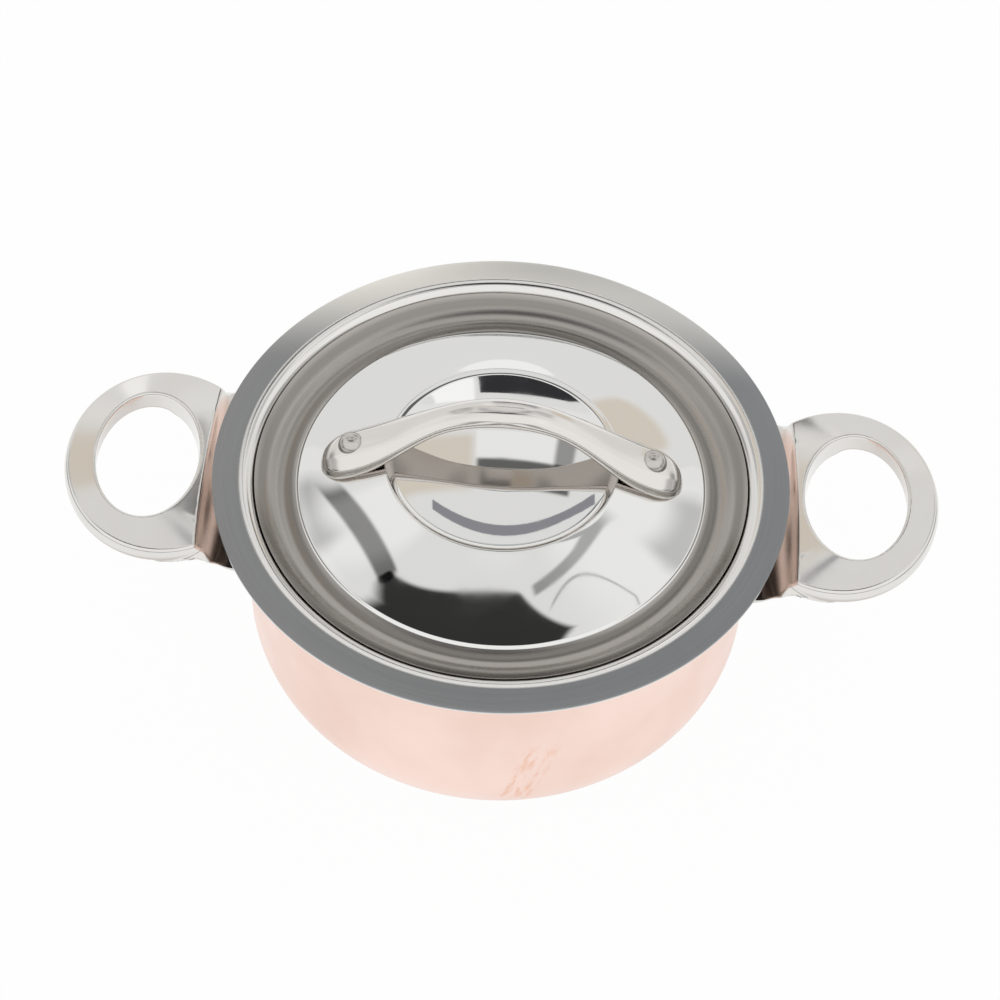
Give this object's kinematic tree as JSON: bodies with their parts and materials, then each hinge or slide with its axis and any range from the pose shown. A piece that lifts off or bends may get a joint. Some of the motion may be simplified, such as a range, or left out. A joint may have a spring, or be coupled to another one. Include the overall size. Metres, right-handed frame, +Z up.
{
  "type": "lidded saucepan",
  "caption": "Round copper saucepan with a steel lining, a wide flat steel rim, cast loop side handles and a domed lift-off lid with an arched grip.",
  "frame": {"origin": "middle of the flat base, on the surface that the pan stands on", "axes": "+Z up along the pan's axis, +X along the line of the two loop handles, +Y away from the picture's viewer"},
  "size_m": [0.3044, 0.2, 0.1274],
  "materials": {
    "copper": "satin polished copper",
    "lining_steel": "brushed in circles, with a polished lip",
    "cast_steel": "cast and polished to a satin sheen",
    "rivet_steel": "satin",
    "lid_steel": "mirror polished dome with a satin channel round it"
  },
  "bodies": {
    "pan": {"copper_body": "copper", "steel_liner": "lining_steel", "right_handle": "cast_steel", "left_handle": "cast_steel", "right_handle_rivets": "rivet_steel", "left_handle_rivets": "rivet_steel"},
    "lid_body": {"lid": "lid_steel", "lid_grip": "cast_steel", "lid_rivets": "rivet_steel"}
  },
  "joints": [
    {"name": "lid_lift", "type": "slide", "parent": "pan", "child": "lid_body", "axis": [0, 0, 1], "range_m": [0, 0.15]}
  ]
}
